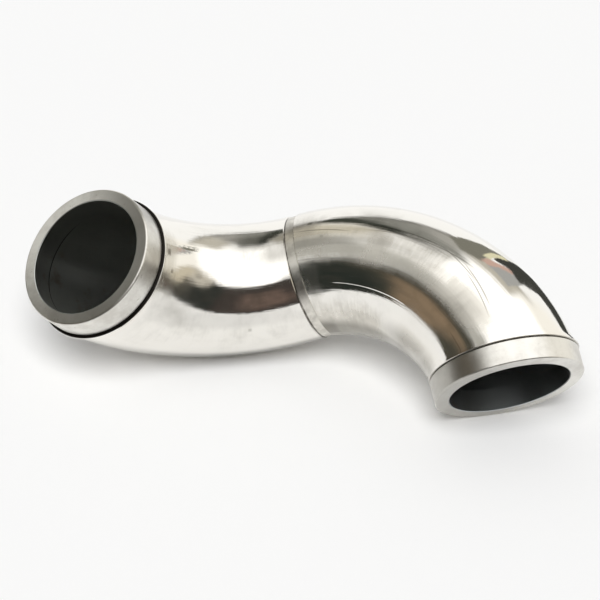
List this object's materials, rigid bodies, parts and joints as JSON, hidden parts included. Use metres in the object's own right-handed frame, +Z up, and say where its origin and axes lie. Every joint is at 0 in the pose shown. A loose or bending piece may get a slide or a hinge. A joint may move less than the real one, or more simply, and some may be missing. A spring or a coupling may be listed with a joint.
{
  "type": "welded tube bend",
  "caption": "Polished double tube bend: tapering elbows in crossing planes meet at a narrow welded ring, each open end finished by a turned collar.",
  "frame": {"origin": "on the floor, under the middle of the part as it lies at rest", "axes": "+Z up; +X along the floor from the left mouth to the right one, under the ring's axis; the mouths face the -Y side"},
  "size_m": [0.2268, 0.1006, 0.0763],
  "materials": {
    "polished_tube": "mirror polished stainless steel with hazy patches and scratches",
    "weld_ring": "satin turned stainless steel",
    "turned_collar": "satin turned stainless steel"
  },
  "bodies": {
    "root": {"left_elbow": "polished_tube", "right_elbow": "polished_tube", "middle_ring": "weld_ring", "left_collar": "turned_collar", "right_collar": "turned_collar"}
  },
  "joints": []
}
